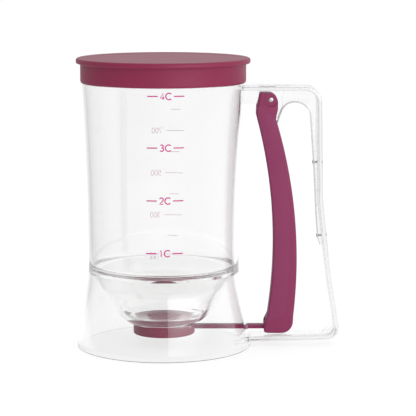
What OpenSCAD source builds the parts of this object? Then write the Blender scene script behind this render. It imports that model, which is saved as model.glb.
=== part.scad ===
// Batter dispenser: clear container on a flared clear stand, press-on lid, and a squeeze lever
// that draws a sliding valve out from under the outlet. Millimetres, Z up, the origin at the
// centre of the rim that it stands on, the handle towards +X.

/* [Clear body] */
// Outer radius of the stand at the table
base_r = 57.1; // [55:0.1:60]
// Outer radius at the waist
waist_r = 48.7; // [47.5:0.1:50]
// Height of the waist
waist_z = 56; // [54:0.5:60]
// Height over which the stand's flare runs out below the waist
flare_blend_h = 18.6; // [14:0.2:24]
// Outer radius below the lid
top_r = 52.3; // [51.8:0.1:54]
// Height of the shoulder that the lid's skirt comes down to
shoulder_z = 171.5; // [165:0.5:180]
// Height of the neck above the shoulder
neck_h = 12.5; // [11:0.5:16]
// How far the neck is set in, for the lid's skirt
neck_step = 1.1; // [0.9:0.1:1.2]
// Wall of the container
wall = 2.5; // [2.2:0.1:2.8]
// Wall of the stand
stand_wall = 2.3; // [1.8:0.1:2.8]
// Height of the joint between container and stand
seam_z = 49; // [47:0.5:51]

/* [Bowl and outlet] */
// Height of the ledge where the tube turns into the bowl, above the joint
ledge_rise = 2.2; // [1.6:0.1:3]
// Width of that ledge, from the tube's bore inwards
ledge_w = 4.3; // [3.6:0.1:4.8]
// Height of the round between the bore and the ledge
ledge_round = 4; // [3:0.1:5]
// Height at which the bowl's inside bends away from the steep stretch below the ledge
bend_z = 39; // [37:0.5:41]
// Radius of that bend
bend_r = 45; // [30:1:50]
// Slope of the bowl's sides, in degrees
bowl_slope = 60; // [58:0.5:62]
// Thickness of the bowl's sides
bowl_wall = 2.6; // [2.2:0.1:3]
// Radius that rounds the bowl's outside into its foot
bowl_out_r = 30; // [28:0.5:31]
// Height at which the bowl's round side meets its floor
floor_z = 21.6; // [20.6:0.1:22.4]
// Height that the floor slopes down to at the outlet's edge
outlet_z = 19.2; // [18.8:0.1:20.4]
// Radius of the outlet
outlet_r = 11.4; // [9:0.1:13]
// Height of the flat face that the seal slides on
seal_face_z = 17.5; // [17:0.1:18]
// Wall of the guide lip round the valve
lip_t = 1.7; // [1.4:0.1:2.2]
// Thickness of the foot that holds the valve's flange up
foot_t = 0.8; // [0.6:0.1:1]
// How far the guide rails run past the outlet's centre
rail_l = 18; // [12:1:20]

/* [Valve] */
// Radius of the valve's cup
cup_r = 20; // [18:0.5:21]
// Height of the cup's side
cup_h = 6.7; // [5.5:0.1:7.5]
// Wall of the cup
cup_wall = 2; // [1.4:0.1:2.6]
// Thickness of the valve's flange
flange_t = 0.8; // [0.6:0.1:1]
// Thickness of the silicone seal
seal_t = 0.9; // [0.7:0.1:1.2]
// Width of the rod
rod_w = 7.4; // [6:0.2:9]
// Thickness of the rod
rod_t = 2.2; // [1.8:0.1:3]
// Height of the rod's middle
rod_z = 11.9; // [11.4:0.1:12.2]
// Radius of the cross pin at the rod's end
rod_pin_r = 1.2; // [1:0.1:1.5]
// Length of that pin
rod_pin_l = 12; // [11:0.5:13]

/* [Lid] */
// How far the lid's rim stands out from its skirt
lid_overhang = 2.75; // [1.5:0.05:4]
// Thickness of the lid's plate
lid_t = 3.4; // [2.6:0.1:4.2]
// Wall of the lid's skirt
lid_wall = 1.9; // [1.5:0.1:2.2]
// Depth of the ring that plugs into the neck
plug_h = 5; // [3:0.5:8]
// Wall of that ring
plug_wall = 1.3; // [1:0.1:2]

/* [Handle frame] */
// Width of the frame's strip
frame_w = 18; // [14:0.5:22]
// Thickness of the strip
frame_t = 3.4; // [3:0.1:4]
// Height of the strip's top
frame_top = 170; // [168:0.5:171]
// Reach of the strip at the top
reach_top = 101.7; // [100:0.1:105]
// Reach of the strip at the bottom
reach_low = 115.2; // [112:0.1:118]
// Height of the strip's underside at its lower corner
frame_low = 4.5; // [3.5:0.1:6]
// Height at which the rear leg starts to lean out
lean_z = 97; // [90:1:105]
// Height at which it has leaned out
leant_z = 48; // [42:1:54]
// Radius of the strip's upper corner
corner_top_r = 11; // [9:0.5:14]
// Radius of its lower corner
corner_low_r = 8; // [6:0.5:10]
// Height of the web above the opening for the hand
web_h = 10.5; // [9:0.1:12]
// Height at which the web runs out down the rear leg
web_end_z = 66.5; // [62:0.5:72]
// Thickness of the web in the frame's upper corner
web_t = 2.5; // [2:0.1:3]
// Thickness of the web's heavier part behind the lever
web_pad_t = 4; // [3.2:0.1:5]

/* [Lever] */
// Distance of the lever's pivot from the body's axis
pivot_x = 69; // [68:0.1:70]
// Height of the lever's pivot
pivot_z = 160.9; // [160:0.1:161.5]
// Radius of the pivot pin
pivot_r = 1.5; // [1.2:0.1:1.8]
// Width of the lever
lever_w = 17; // [15:0.5:19]
// Height of the lever's lower end
lever_low_z = 8.6; // [8:0.1:10]
// Radius of the bow of the lever's front edge
front_r = 311; // [290:1:330]
// Height of that bow's centre below the pivot
front_drop = 93.6; // [88:0.2:98]
// Radius of the bow of the lever's back edge
back_r = 316; // [305:1:325]
// Height of that bow's centre below the pivot
back_drop = 105; // [100:0.2:110]
// Width of the grip on the lever's sides, front to back
grip_d = 11; // [9:0.5:12]
// Depth of the hollow in the lever's back, from the front edge
hollow_d = 8; // [6:0.5:10]
// Wall of the lever beside that hollow
lever_wall = 3; // [2.4:0.2:4]
// Number of ribs across it
lever_ribs = 5; // [3:1:7]
// Thickness of those ribs
lever_rib_t = 1.6; // [1.2:0.1:2.2]
// Thickness of the grip's soft wall
grip_t = 2; // [1.4:0.1:2.6]
// Radius of the recess round the pivot pin's end
recess_r = 4.6; // [3.6:0.1:5]
// Depth of that recess
recess_d = 0.8; // [0.4:0.1:1.4]

/* [Return spring] */
// Width of the spring's strip
spring_w = 8; // [5:0.5:10]
// Thickness of the spring's strip
spring_t = 0.5; // [0.4:0.05:0.8]
// Radius of the rivets that hold the spring to the frame
rivet_r = 0.7; // [0.5:0.05:0.9]
// Radius of their heads
rivet_head_r = 1.4; // [1.1:0.1:1.6]

/* [Fits] */
// Gap between parts that slide past each other
slide_gap = 0.15; // [0.1:0.05:0.25]
// Gap between parts that only stand next to each other
free_gap = 0.3; // [0.2:0.05:0.4]
// Radial play of the pivot pin
pin_play = 0.05; // [0.02:0.01:0.08]

/* [Hidden] */
clear = [0.93, 0.94, 0.95, 0.45];
plum = [0.5, 0.16, 0.3];
soft_plum = [0.54, 0.18, 0.33];
steel = [0.72, 0.73, 0.74];
eps = 0.01;
$fn = 120;

// ---- outlines ----

function unit(v) = v / norm(v);

// The round that replaces corner b between a and c, as points
function fillet(a, b, c, r, n = 8) =
    let (u = unit(a - b), v = unit(c - b), straight = abs(cross(u, v)) < 0.002)
    r <= 0 || straight ? [b] :
    let (half = acos(u * v) / 2, m = b + unit(u + v) * r / sin(half), p = b + u * r / tan(half),
        from = atan2(p.y - m.y, p.x - m.x), turn = (180 - 2 * half) * sign(cross(b - a, c - b)))
    [for (i = [0 : n]) m + r * [cos(from + turn * i / n), sin(from + turn * i / n)]];

function at(c, i) = [c[i].x, c[i].y];

// A closed outline with its corners [x, z, radius] rounded
function rounded(c) = let (n = len(c))
    [for (i = [0 : n - 1]) each fillet(at(c, (i + n - 1) % n), at(c, i), at(c, (i + 1) % n), c[i].z)];

// The same for an open path
function rounded_path(c) = let (n = len(c))
    [at(c, 0), for (i = [1 : n - 2]) each fillet(at(c, i - 1), at(c, i), at(c, i + 1), c[i].z),
        at(c, n - 1)];

// An open path shifted sideways by d, to the left of its direction
function shifted(c, d) = let (n = len(c))
    [for (i = [0 : n - 1])
        let (b = at(c, i), a = i > 0 ? at(c, i - 1) : 2 * b - at(c, 1),
            e = i < n - 1 ? at(c, i + 1) : 2 * b - at(c, n - 2),
            u = unit(b - a), v = unit(e - b), side = [-u.y, u.x],
            m = unit(side + [-v.y, v.x]), p = b + m * d / (m * side))
        [p.x, p.y, c[i].z > 0 ? c[i].z - d * sign(cross(u, v)) : 0]];

function reversed(p) = [for (i = [len(p) - 1 : -1 : 0]) p[i]];

// A strip of thickness t to the left of an open path
function strip(c, t) = concat(rounded_path(c), reversed(rounded_path(shifted(c, t))));

// Points of an arc, from one height to another, right of its centre
function arc_by_z(centre, r, z0, z1, n = 20) =
    let (a0 = asin((z0 - centre.y) / r), a1 = asin((z1 - centre.y) / r))
    [for (i = [0 : n]) let (a = a0 + (a1 - a0) * i / n) centre + r * [cos(a), sin(a)]];

// A plate that stands in the XZ plane, centred on Y = 0
module plate(points, w) {
    rotate([90, 0, 0]) linear_extrude(w, center = true) polygon(points);
}

// A round bar or bore along Y
module cross_bar(x, z, r, l) {
    translate([x, 0, z]) rotate([90, 0, 0]) cylinder(r = r, h = l, center = true, $fn = 64);
}

// ---- the clear body's outside ----

flare_z = waist_z - flare_blend_h;
flare_k = (base_r - waist_r) / (pow(flare_blend_h, 2) + 2 * flare_blend_h * flare_z);

function body_r(z) =
    z >= waist_z ? waist_r + (top_r - waist_r) * pow((z - waist_z) / (shoulder_z - waist_z), 2) :
    z >= flare_z ? waist_r + flare_k * pow(waist_z - z, 2) :
    base_r - 2 * flare_k * flare_blend_h * z;

stand_steps = 5;
tube_steps = 14;
stand_zs = [for (i = [0 : stand_steps]) flare_z + i * (seam_z - flare_z) / stand_steps];
tube_zs = [for (i = [0 : tube_steps]) seam_z + i * (shoulder_z - seam_z) / tube_steps];

module body_solid() {
    rotate_extrude() polygon(concat([[0, -1], [body_r(0), -1], [body_r(0), 0]],
        [for (z = stand_zs) [body_r(z), z]], [for (z = tube_zs) [body_r(z), z]],
        [[0, shoulder_z]]));
}

// ---- container ----

neck_r = top_r - neck_step;
rim_z = shoulder_z + neck_h;
bore_top_r = top_r - wall;
ledge_z = seam_z + ledge_rise;
bore_low_z = ledge_z + ledge_round;
bore_low_r = body_r(bore_low_z) - wall;
ledge_r = bore_low_r - ledge_w;

// The bowl's outside: a cone from the joint with the stand, then a round into the foot
crotch_r = body_r(seam_z) - stand_wall;
lip_r = cup_r + free_gap + lip_t;
foot_z = seal_face_z - seal_t - flange_t - slide_gap - foot_t;
out_tangent_z = 26;
out_tangent_r = crotch_r - (seam_z - out_tangent_z) / tan(bowl_slope);
out_centre_r = out_tangent_r - bowl_out_r * sin(bowl_slope);
out_centre_z = out_tangent_z + bowl_out_r * cos(bowl_slope);
out_end = acos((out_centre_z - foot_z) / bowl_out_r);
out_end_r = out_centre_r + bowl_out_r * sin(out_end);

// The bowl's inside: steep below the ledge, then at an even wall from the outside, then the floor
in_r = bowl_out_r - bowl_wall;
in_low = [out_centre_r + in_r * sin(bowl_slope), out_centre_z - in_r * cos(bowl_slope)];
in_bend = [in_low.x + (bend_z - in_low.y) / tan(bowl_slope), bend_z];
in_end = acos((out_centre_z - floor_z) / in_r);

outlet_round = 0.8;
bowl_steps = 14;

// Points about the bowl's centre, from one slope to another
function about_centre(r, a0, a1) = [for (i = [0 : bowl_steps])
    let (a = a0 + (a1 - a0) * i / bowl_steps) [out_centre_r + r * sin(a), out_centre_z - r * cos(a)]];

function bowl_inside() = concat(fillet([ledge_r, ledge_z], in_bend, in_low, bend_r),
    about_centre(in_r, bowl_slope, in_end), [[outlet_r + outlet_round, outlet_z]]);

function bowl_outside() = about_centre(bowl_out_r, out_end, bowl_slope);

function ledge() = [for (a = [90 : -15 : 0])
    [ledge_r + ledge_w * sin(a), ledge_z + ledge_round * (1 - cos(a))]];

channel_r = cup_r + free_gap;
foot_in_r = cup_r - 1.4 + free_gap;

module channel(r, z0, z1) {
    translate([0, 0, z0]) linear_extrude(z1 - z0) {
        circle(r = r);
        translate([0, -r]) square([2 * channel_r, 2 * r]);
    }
}

module container() {
    color(clear) difference() {
        union() {
            rotate_extrude() polygon(concat(
                [for (z = tube_zs) [body_r(z), z]],
                [[neck_r, shoulder_z], [neck_r, rim_z - 0.6], [neck_r - 0.5, rim_z],
                    [bore_top_r + 0.4, rim_z], [bore_top_r, rim_z - 0.6]],
                [for (i = [tube_steps : -1 : 1]) if (tube_zs[i] > bore_low_z + 1)
                    [body_r(tube_zs[i]) - wall, tube_zs[i]]],
                ledge(), bowl_inside(),
                [[outlet_r, outlet_z - outlet_round], [outlet_r, foot_z], [out_end_r, foot_z]],
                bowl_outside(), [[crotch_r, seam_z]]));
            intersection() {
                translate([0, -lip_r, foot_z]) cube([rail_l, 2 * lip_r, 6]);
                translate([0, 0, foot_z]) rail_block();
            }
        }
        channel(channel_r, foot_z + foot_t, seal_face_z);
        channel(foot_in_r, foot_z - 1, seal_face_z);
        translate([rail_l, -channel_r - lip_t - 1, foot_z - 1])
            cube([cup_r, 2 * (channel_r + lip_t + 1), seal_face_z - foot_z + 1]);
    }
}

// The rails' two walls, up to the bowl's underside
module rail_block() {
    for (side = [-1, 1]) translate([0, side * (channel_r + lip_t / 2) - lip_t / 2, 0])
        cube([rail_l, lip_t, out_centre_z - sqrt(pow(bowl_out_r, 2)
            - pow(channel_r - out_centre_r, 2)) - foot_z + 2]);
}

// ---- stand ----

slot_w = rod_w + 1;
slot_h = rod_t + 1.2;

module stand_skirt() {
    color(clear) difference() {
        rotate_extrude() polygon(concat(
            [[body_r(0) - stand_wall, 0], [body_r(0) - 0.8, 0], [body_r(0.8), 0.8]],
            [for (z = stand_zs) [body_r(z), z]],
            [for (i = [stand_steps : -1 : 0]) [body_r(stand_zs[i]) - stand_wall, stand_zs[i]]]));
        translate([base_r / 2, -slot_w / 2, rod_z - slot_h / 2]) cube([base_r, slot_w, slot_h]);
    }
}

// ---- handle frame ----

frame_start = waist_r - 9;
frame_path = [[frame_start, frame_top, 0], [reach_top, frame_top, corner_top_r],
    [reach_top + 1.1, lean_z, 120], [reach_low - 7, leant_z, 200],
    [reach_low, frame_low, corner_low_r], [frame_start, frame_low - 2.2, 0]];
frame_in = shifted(frame_path, -frame_t);
under_z = frame_in[0].y;

// Distance of the rear leg's inner face from the body's axis, at a height
function leg_x(z) = lookup(z, [for (i = [4 : -1 : 1]) [frame_in[i].y, frame_in[i].x]]);

// Edge of the opening for the hand, from behind the lever up over the arch and down the back
arch_z = frame_top - web_h;
arch_x = pivot_x + 8.9;
arch_w = leg_x(arch_z) - 3.8 - arch_x;
arch_path = [[pivot_x + 4.7, pivot_z - 12.3, 0], [arch_x, arch_z, 0.52 * arch_w],
    [arch_x + arch_w, arch_z, 0.64 * arch_w], [leg_x(lean_z + 16) - 1.25, lean_z + 16, 150],
    [leg_x(lean_z - 9) - 1.2, lean_z - 9, 60], [leg_x(web_end_z + 4) - 1.8, web_end_z + 4, 4],
    [leg_x(web_end_z) - 0.85, web_end_z, 0]];

// The leg's middle line, for what is sunk into it
function leg_inside() = let (step = (arch_z - 14 - web_end_z) / 6)
    [for (i = [0 : 6]) let (z = web_end_z - 4 + i * step) [leg_x(z) + frame_t / 2, z]];

module web() {
    x0 = pivot_x - 6;
    plate(concat(rounded_path(arch_path), leg_inside(),
        rounded_path([[reach_top - frame_t / 2, arch_z - 13, 0],
            [reach_top - frame_t / 2, frame_top - frame_t / 2, 9],
            [frame_start, frame_top - frame_t / 2, 0]]),
        [[frame_start, arch_z - 1.7], [x0, arch_z - 1.7], [x0 + 1, pivot_z - 11.4],
            [x0 + 3, pivot_z - 13.9]]), web_t);
}

module web_pad() {
    x0 = pivot_x + 7.2;
    plate(concat([for (p = rounded_path(arch_path)) if (p.x > x0) p], leg_inside(),
        rounded_path([[reach_top - frame_t / 2, arch_z - 13, 0],
            [reach_top - frame_t / 2, frame_top - frame_t / 2, 9],
            [x0 + 3, frame_top - frame_t / 2, 0]]),
        [[x0, arch_z + 2.7]]), web_pad_t);
}

module gusset() {
    x = at(frame_in, 4).x;
    z = at(frame_in, 4).y;
    plate([[x - 9, z - 1], [x + 1.5, z - 1], [x + 0.8, z + 12], [x - 1.2, z + 11],
        [x - 3.4, z + 5.4], [x - 6, z + 2]], web_t);
}

module handle_frame() {
    color(clear) difference() {
        union() {
            plate(strip(frame_path, -frame_t), frame_w);
            web();
            web_pad();
            gusset();
        }
        body_solid();
        cross_bar(pivot_x, pivot_z, pivot_r + pin_play, frame_w);
        at_rivets() translate([0, 0, -rivet_l - free_gap]) cylinder(r = rivet_r + 0.02, h = rivet_l + 1);
    }
}

// ---- lid ----

lid_under = rim_z;
lid_top = lid_under + lid_t;
lid_skirt_r = neck_r + slide_gap;
lid_r = lid_skirt_r + lid_wall + lid_overhang;
lid_skirt_z = shoulder_z + free_gap;

module lid() {
    color(plum) rotate_extrude() polygon([
        [0, lid_under], [bore_top_r - slide_gap - plug_wall, lid_under],
        [bore_top_r - slide_gap - plug_wall, lid_under - plug_h],
        [bore_top_r - slide_gap - 0.5, lid_under - plug_h],
        [bore_top_r - slide_gap, lid_under - plug_h + 1.2],
        [bore_top_r - slide_gap, lid_under], [lid_skirt_r, lid_under],
        [lid_skirt_r, lid_skirt_z], [lid_skirt_r + lid_wall - 0.7, lid_skirt_z],
        [lid_skirt_r + lid_wall - 0.15, lid_skirt_z + 0.6],
        [lid_skirt_r + lid_wall, lid_under - 0.6], [lid_skirt_r + lid_wall + 0.5, lid_under],
        [lid_r - 0.9, lid_under], [lid_r, lid_under + 0.9], [lid_r, lid_top - 1.6],
        [lid_r - 0.5, lid_top - 0.5], [lid_r - 1.6, lid_top], [lid_r - 4, lid_top],
        [lid_r - 6, lid_top - 0.3], [0, lid_top - 0.3]]);
}

// ---- lever ----

front_c = [pivot_x + 2 - front_r, pivot_z - front_drop];
back_c = [pivot_x + 17.2 - back_r, pivot_z - back_drop];
lever_top_z = pivot_z + 4.2;
nose_x = pivot_x - 9.4;
toe_x = pivot_x - 3.9;
bow_low_z = lever_low_z + 11.4;
rod_pin_x = pivot_x + 1.5;

// The lever's side view; inset moves its front edge back
function lever_outline(inset = 0) = concat(
    [for (p = arc_by_z(back_c, back_r, bow_low_z, pivot_z - 11.9, 22)) [p.x, p.y, 0]],
    [[pivot_x + 4.5, pivot_z - 6.4, 2], [pivot_x + 4.6, lever_top_z, 6],
        [pivot_x - 7.1 + inset, lever_top_z, 1], [nose_x + 1 + inset, pivot_z - 3.3, 0],
        [nose_x + 0.3 + inset, pivot_z - 3.9, 0.3], [nose_x + inset, pivot_z - 9.9, 7]],
    [for (p = arc_by_z(front_c, front_r + inset, pivot_z - 14.9, bow_low_z, 22)) [p.x, p.y, 0]],
    [[toe_x + inset, lever_low_z + 6.6, 3], [toe_x + inset, lever_low_z + 0.6, 1.2],
        [pivot_x - 1, lever_low_z, 0], [pivot_x + 14.7, lever_low_z, 7.6]]);

// The strip of the side view that the grip covers, from the front edge back
grip_top_z = pivot_z - 4.3;
grip_region = concat([[nose_x - 20, grip_top_z], [pivot_x - 7, grip_top_z],
        [pivot_x + 1.6, grip_top_z - 6.7]],
    arc_by_z(front_c, front_r + grip_d, grip_top_z - 8.2, bow_low_z + 1.5, 22),
    [[pivot_x - 0.7, lever_low_z + 8.3], [nose_x - 20, lever_low_z + 5.9]]);

// The hollow in the lever's back, with the ribs that cross it
hollow_low_z = bow_low_z + 5;
hollow_top_z = pivot_z - 24;

module lever_hollow() {
    back_x = pivot_x + 30;
    difference() {
        plate(concat(arc_by_z(front_c, front_r + hollow_d, hollow_low_z, hollow_top_z, 16),
            [[back_x, hollow_top_z], [back_x, hollow_low_z]]), lever_w - 2 * lever_wall);
        for (i = [1 : lever_ribs]) translate([pivot_x - 10, -lever_w / 2,
            hollow_low_z + (hollow_top_z - hollow_low_z) * i / (lever_ribs + 1) - lever_rib_t / 2])
            cube([back_x, lever_w, lever_rib_t]);
    }
}

module lever_body(inset, w) {
    plate(rounded(lever_outline(inset)), w);
}

module grip_zone(w) {
    plate(grip_region, w);
}

// Slot in the lever's head that straddles the frame's web
module web_slot() {
    top = pivot_z + 20;
    low = pivot_z - 17.9;
    plate([[pivot_x - 20, top], [pivot_x - 20, low], [pivot_x - 2, low - 1.5], [pivot_x + 20, low],
        [pivot_x + 20, top]], web_t + 2 * free_gap);
}

// Opening in the lever's foot for the rod's end
rod_slot_w = rod_w + 0.8;
rod_slot_h = rod_z + 5.6;

module rod_slot() {
    translate([nose_x - 10, -rod_slot_w / 2, 0]) cube([pivot_x + 7 - (nose_x - 10), rod_slot_w, rod_slot_h]);
}

module lever() {
    color(plum) difference() {
        union() {
            difference() {
                lever_body(0, lever_w);
                grip_zone(lever_w + 2);
            }
            intersection() {
                lever_body(grip_t, lever_w - 2 * grip_t);
                grip_zone(lever_w);
            }
        }
        web_slot();
        rod_slot();
        // slots for the rod's pin in the cheeks
        translate([rod_pin_x - rod_pin_r - 0.25, -rod_pin_l / 2 - free_gap, 0])
            cube([2 * rod_pin_r + 0.5, rod_pin_l + 2 * free_gap, rod_z + rod_pin_r + 0.3]);
        lever_hollow();
        cross_bar(pivot_x, pivot_z, pivot_r + pin_play, lever_w + 2);
        for (side = [-1, 1]) translate([0, side * lever_w / 2, 0])
            cross_bar(pivot_x, pivot_z, recess_r, 2 * recess_d);
    }
}

module lever_grip() {
    color(soft_plum) difference() {
        intersection() {
            lever_body(0, lever_w);
            grip_zone(lever_w + 2);
        }
        lever_body(grip_t, lever_w - 2 * grip_t);
        web_slot();
        rod_slot();
    }
}

module pivot_pin() {
    color(steel) cross_bar(pivot_x, pivot_z, pivot_r, lever_w - 2 * recess_d);
}

// ---- return spring ----

// It runs just inside the opening's edge, and its upper end rests against the lever's back
spring_path = [[pivot_x + 4.5, pivot_z - 15.3, 0],
    for (i = [1 : len(arch_path) - 1]) shifted(arch_path, -free_gap)[i]];

module return_spring() {
    color(steel) difference() {
        plate(strip(spring_path, -spring_t), spring_w);
        at_rivets() cylinder(r = rivet_r + 0.02, h = 2 * (free_gap + spring_t));
    }
}

// Each rivet's place: a corner of the opening's edge, and the share of the way to the next
rivet_spots = [[2, 0.85], [4, 0.91]];
rivet_l = 2.8;
rivet_head_h = 0.6;

// Puts its children at the rivets, with +Z out of the frame into the opening
module at_rivets() {
    for (spot = rivet_spots)
        let (a = at(arch_path, spot[0]), b = at(arch_path, spot[0] + 1), p = a + (b - a) * spot[1])
        translate([p.x, 0, p.y]) rotate([0, -atan2(a.y - b.y, a.x - b.x), 0]) children();
}

module spring_rivets() {
    seat = free_gap + spring_t + 0.02;
    color(steel) at_rivets() rotate_extrude($fn = 48) polygon([[0, -rivet_l], [rivet_r, -rivet_l],
        [rivet_r, seat], [rivet_head_r, seat], [rivet_head_r, seat + 0.15],
        [rivet_head_r * 0.7, seat + rivet_head_h * 0.8], [0, seat + rivet_head_h]]);
}

// ---- valve ----

flange_z = foot_z + foot_t + slide_gap;
flange_r = cup_r - 0.1;
cup_top = foot_z - free_gap;
cup_low = cup_top - cup_h;
rib_t = 1.6;
hub_r = 6;
socket_r = 5;
rod_end_r = 2.9;

module valve_cup() {
    color(plum) difference() {
        union() {
            difference() {
                translate([0, 0, cup_low]) cylinder(r = cup_r, h = cup_h);
                translate([0, 0, cup_low - 1]) cylinder(r = cup_r - cup_wall, h = cup_h - cup_wall + 1);
            }
            translate([0, 0, cup_low]) cylinder(r = hub_r, h = cup_h);
            for (a = [0 : 60 : 300]) rotate([0, 0, a]) translate([0, -rib_t / 2, cup_low])
                cube([cup_r - cup_wall / 2, rib_t, cup_h]);
            translate([0, 0, cup_top - eps])
                cylinder(r = foot_in_r - free_gap, h = flange_z - cup_top + 2 * eps);
            translate([0, 0, flange_z]) cylinder(r = flange_r, h = flange_t);
        }
        translate([0, 0, cup_low + 2]) cylinder(r = socket_r, h = seal_face_z);
        translate([cup_r - 6, -rod_w / 2, rod_z - rod_t / 2]) cube([10, rod_w, rod_t]);
    }
}

module valve_seal() {
    color(soft_plum) {
        translate([0, 0, flange_z + flange_t]) cylinder(r = flange_r - 0.3, h = seal_t - 0.02);
        translate([0, 0, cup_low + 2]) cylinder(r = socket_r, h = flange_z + flange_t - cup_low - 2 + eps);
    }
}

module valve_rod() {
    color(plum) difference() {
        union() {
            translate([cup_r - 6, -rod_w / 2, rod_z - rod_t / 2])
                cube([rod_pin_x - cup_r + 6, rod_w, rod_t]);
            cross_bar(rod_pin_x, rod_z, rod_end_r, rod_w);
        }
        cross_bar(rod_pin_x, rod_z, rod_pin_r, rod_w + 2);
    }
}

module rod_pin() {
    color(steel) cross_bar(rod_pin_x, rod_z, rod_pin_r, rod_pin_l);
}

container();
stand_skirt();
handle_frame();
lid();
lever();
lever_grip();
pivot_pin();
return_spring();
spring_rivets();
valve_rod();
valve_cup();
valve_seal();
rod_pin();
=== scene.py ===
import bpy
import bmesh
import math
from functools import partial
from mathutils import Matrix, Vector


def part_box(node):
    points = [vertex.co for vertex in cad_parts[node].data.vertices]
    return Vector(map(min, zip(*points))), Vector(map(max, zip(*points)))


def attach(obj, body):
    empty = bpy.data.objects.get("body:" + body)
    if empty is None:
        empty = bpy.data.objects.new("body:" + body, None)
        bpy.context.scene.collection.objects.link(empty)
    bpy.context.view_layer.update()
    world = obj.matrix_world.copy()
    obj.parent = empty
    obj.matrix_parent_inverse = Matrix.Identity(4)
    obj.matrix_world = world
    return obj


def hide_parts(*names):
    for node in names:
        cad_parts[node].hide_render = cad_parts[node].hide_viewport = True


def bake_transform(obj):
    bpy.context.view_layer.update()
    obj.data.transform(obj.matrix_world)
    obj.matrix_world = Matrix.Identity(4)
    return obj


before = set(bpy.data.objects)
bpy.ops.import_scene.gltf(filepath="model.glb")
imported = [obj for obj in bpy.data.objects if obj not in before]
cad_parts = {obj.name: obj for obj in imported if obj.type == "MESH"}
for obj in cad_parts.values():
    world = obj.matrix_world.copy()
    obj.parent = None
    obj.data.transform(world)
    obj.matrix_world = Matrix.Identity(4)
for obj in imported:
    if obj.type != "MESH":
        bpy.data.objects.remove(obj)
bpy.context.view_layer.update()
scene = bpy.context.scene
mm = 0.001


def spread(first, last, steps):
    return [first + (last - first) * i / steps for i in range(steps + 1)]


def lowHigh(node):
    low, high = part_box(node)
    return low / mm, high / mm


def newObject(name, mesh):
    made = bpy.data.objects.new(name, mesh)
    scene.collection.objects.link(made)
    return made


def meshFrom(name, points, faces, edges=()):
    mesh = bpy.data.meshes.new(name)
    mesh.from_pydata([Vector(p) * mm for p in points], edges, faces)
    mesh.update()
    return newObject(name, mesh)


def tidyMesh(made, merge=0.0005):
    work = bmesh.new()
    work.from_mesh(made.data)
    bmesh.ops.remove_doubles(work, verts=work.verts, dist=merge * mm)
    bmesh.ops.dissolve_degenerate(work, edges=work.edges, dist=merge * mm)
    bmesh.ops.recalc_face_normals(work, faces=work.faces)
    work.to_mesh(made.data)
    work.free()


def smooth(made, angle=32):
    made.data.shade_smooth()
    made.data.set_sharp_from_angle(angle=math.radians(angle))


def cleaned(made):
    tidyMesh(made)
    smooth(made)
    return made


def applyModifiers(made):
    # the evaluated mesh takes the place of the mesh and its modifiers
    shown = bpy.context.evaluated_depsgraph_get()
    shown.update()
    mesh = bpy.data.meshes.new_from_object(made.evaluated_get(shown), depsgraph=shown)
    mesh.name = made.name
    made.modifiers.clear()
    old = made.data
    made.data = mesh
    bpy.data.meshes.remove(old)


def combine(made, operation, *others):
    for other in others:
        step = made.modifiers.new(operation.lower(), "BOOLEAN")
        step.operation = operation
        step.solver = "EXACT"
        step.object = other
        applyModifiers(made)
        bpy.data.objects.remove(other)
    return made


def roundEdges(made, width, segments=3, angle=60):
    step = made.modifiers.new("edges", "BEVEL")
    step.width = width * mm
    step.segments = segments
    step.limit_method = "ANGLE"
    step.angle_limit = math.radians(angle)
    step.miter_outer = "MITER_ARC"
    step.harden_normals = False
    applyModifiers(made)
    return made


def give(made, body, finish, slotName, *replaced, bonded=None):
    # body is None for a piece that is attached to no body
    made.data.materials.clear()
    made.data.materials.append(finish)
    if bonded:
        made.data.materials.append(bondFace)
    for face in made.data.polygons:
        face.material_index = 1 if bonded and bonded(face.center / mm) else 0
    if body:
        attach(made, body)
    if replaced:
        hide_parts(*replaced)
    return made


def unit(v):
    return v / v.length


def roundedCorner(a, b, c, radius, steps):
    u, v = unit(a - b), unit(c - b)
    turn = u.x * v.y - u.y * v.x
    if radius <= 0 or abs(turn) < 0.002:
        return [b]
    half = math.acos(max(-1, min(1, u.dot(v)))) / 2
    middle = b + unit(u + v) * radius / math.sin(half)
    start = b + u * radius / math.tan(half)
    first = math.atan2(start.y - middle.y, start.x - middle.x)
    sweep = (math.pi - 2 * half) * (-1 if turn > 0 else 1)
    turns = [first + sweep * i / steps for i in range(steps + 1)]
    return [middle + radius * Vector((math.cos(t), math.sin(t))) for t in turns]


def roundedOutline(corners, closed=True, steps=12):
    # corners are (x, z, radius), and they give an outline, a row of points (x, z)
    spots = [Vector(c[:2]) for c in corners]
    made = []
    for i, corner in enumerate(corners):
        if not closed and i in (0, len(corners) - 1):
            made.append(spots[i])
        else:
            made += roundedCorner(spots[i - 1], spots[i], spots[(i + 1) % len(spots)], corner[2], steps)
    return made


def shiftedPath(corners, distance, closed=False):
    # to the left of the path's direction
    spots = [Vector(c[:2]) for c in corners]
    made = []
    for i, b in enumerate(spots):
        a = spots[i - 1] if i or closed else 2 * b - spots[1]
        c = spots[(i + 1) % len(spots)] if i < len(spots) - 1 or closed else 2 * b - spots[i - 1]
        u, v = unit(b - a), unit(c - b)
        side = Vector((-u.y, u.x))
        middle = unit(side + Vector((-v.y, v.x)))
        p = b + middle * distance / middle.dot(side)
        turn = u.x * v.y - u.y * v.x
        radius = corners[i][2] - distance * (1 if turn > 0 else -1)
        made.append((p.x, p.y, max(radius, 0.002) if corners[i][2] > 0 else 0))
    return made


def stripCorners(corners, thickness):
    return list(corners) + list(reversed(shiftedPath(corners, thickness)))


def withRadius(points):
    return [(p[0], p[1], 0) for p in points]


def arcPoints(centre, radius, lowZ, highZ, steps=40):
    first, last = (math.asin((z - centre[1]) / radius) for z in (lowZ, highZ))
    return [Vector((centre[0] + radius * math.cos(t), centre[1] + radius * math.sin(t)))
            for t in spread(first, last, steps)]


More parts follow.
